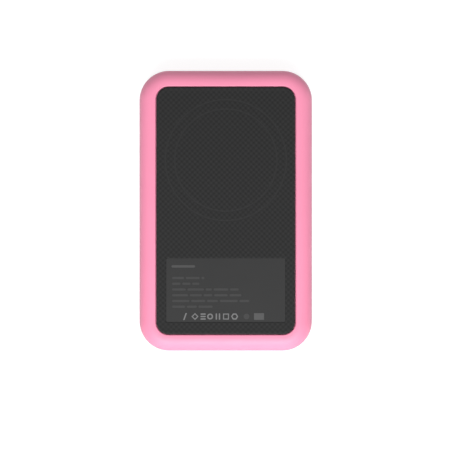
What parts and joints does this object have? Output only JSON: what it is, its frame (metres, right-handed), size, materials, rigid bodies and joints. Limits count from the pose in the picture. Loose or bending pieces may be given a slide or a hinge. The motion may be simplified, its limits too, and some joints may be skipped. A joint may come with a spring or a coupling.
{
  "type": "power bank",
  "caption": "Slim magnetic wireless power bank: rounded two-part case, dark phone pad over a coil and magnet ring, cell, board, end port, status lights and a push button.",
  "frame": {"origin": "middle of the flat back face that the slab rests on", "axes": "+Z out of the phone pad, +Y along the length away from the port end, +X across the width"},
  "size_m": [0.0646, 0.1048, 0.014],
  "materials": {
    "soft_touch_pink": "satin",
    "gloss_pink": "satin",
    "dark_pad_skin": "matte",
    "label_film": "matte",
    "adhesive_film": "matte",
    "light_guide": "gloss",
    "led_package": "gloss",
    "formed_steel": "satin",
    "screw_steel": "satin",
    "black_moulding": "satin",
    "chip_epoxy": "matte",
    "gold_contact": "polished",
    "circuit_board": "satin",
    "moulded_ferrite": "matte",
    "capacitor_ceramic": "matte",
    "pouch_foil": "satin",
    "nickel_strip": "satin",
    "foam_pad": "matte",
    "lead_red_jacket": "satin",
    "lead_black_jacket": "satin",
    "graphite_sheet": "satin",
    "tray_moulding": "matte",
    "copper_winding": "satin",
    "coil_lead_jacket": "satin",
    "ferrite_plate": "matte",
    "thermistor_bead": "gloss",
    "thermistor_jacket": "satin",
    "magnet_nickel": "polished",
    "amber_tape": "gloss"
  },
  "bodies": {
    "case": {"rear_shell": "soft_touch_pink", "front_frame": "soft_touch_pink", "case_screws": "screw_steel", "pad_adhesive": "adhesive_film", "contact_pad": "dark_pad_skin", "rating_label": "label_film", "end_plate": "gloss_pink", "switch_body": "black_moulding", "switch_cover": "formed_steel", "light_pipe": "light_guide", "status_leds": "led_package", "usb_shell": "formed_steel", "usb_tongue": "black_moulding", "usb_contacts": "gold_contact", "main_board": "circuit_board", "power_inductor": "moulded_ferrite", "charge_controller": "chip_epoxy", "wireless_controller": "chip_epoxy", "bridge_mosfets": "chip_epoxy", "resonance_capacitors": "capacitor_ceramic", "ceramic_capacitors": "capacitor_ceramic", "battery_cell": "pouch_foil", "protection_board": "circuit_board", "protection_chips": "chip_epoxy", "cell_tabs": "nickel_strip", "cell_foam": "foam_pad", "battery_lead_red": "lead_red_jacket", "battery_lead_black": "lead_black_jacket", "heat_spreader": "graphite_sheet", "coil_tray": "tray_moulding", "magnet_shunt": "formed_steel", "ring_magnets": "magnet_nickel", "ferrite_sheet": "ferrite_plate", "charging_coil": "copper_winding", "coil_lead_outer": "coil_lead_jacket", "coil_lead_inner": "coil_lead_jacket", "coil_thermistor": "thermistor_bead", "thermistor_lead": "thermistor_jacket", "lead_tape": "amber_tape"},
    "button": {"power_button": "gloss_pink", "switch_plunger": "black_moulding"}
  },
  "joints": [
    {"name": "button_press", "type": "slide", "parent": "case", "child": "button", "axis": [0, 1, 0], "range_m": [0, 0.00035], "stiffness_N_per_m": 1500, "springref_m": -0.0003}
  ]
}
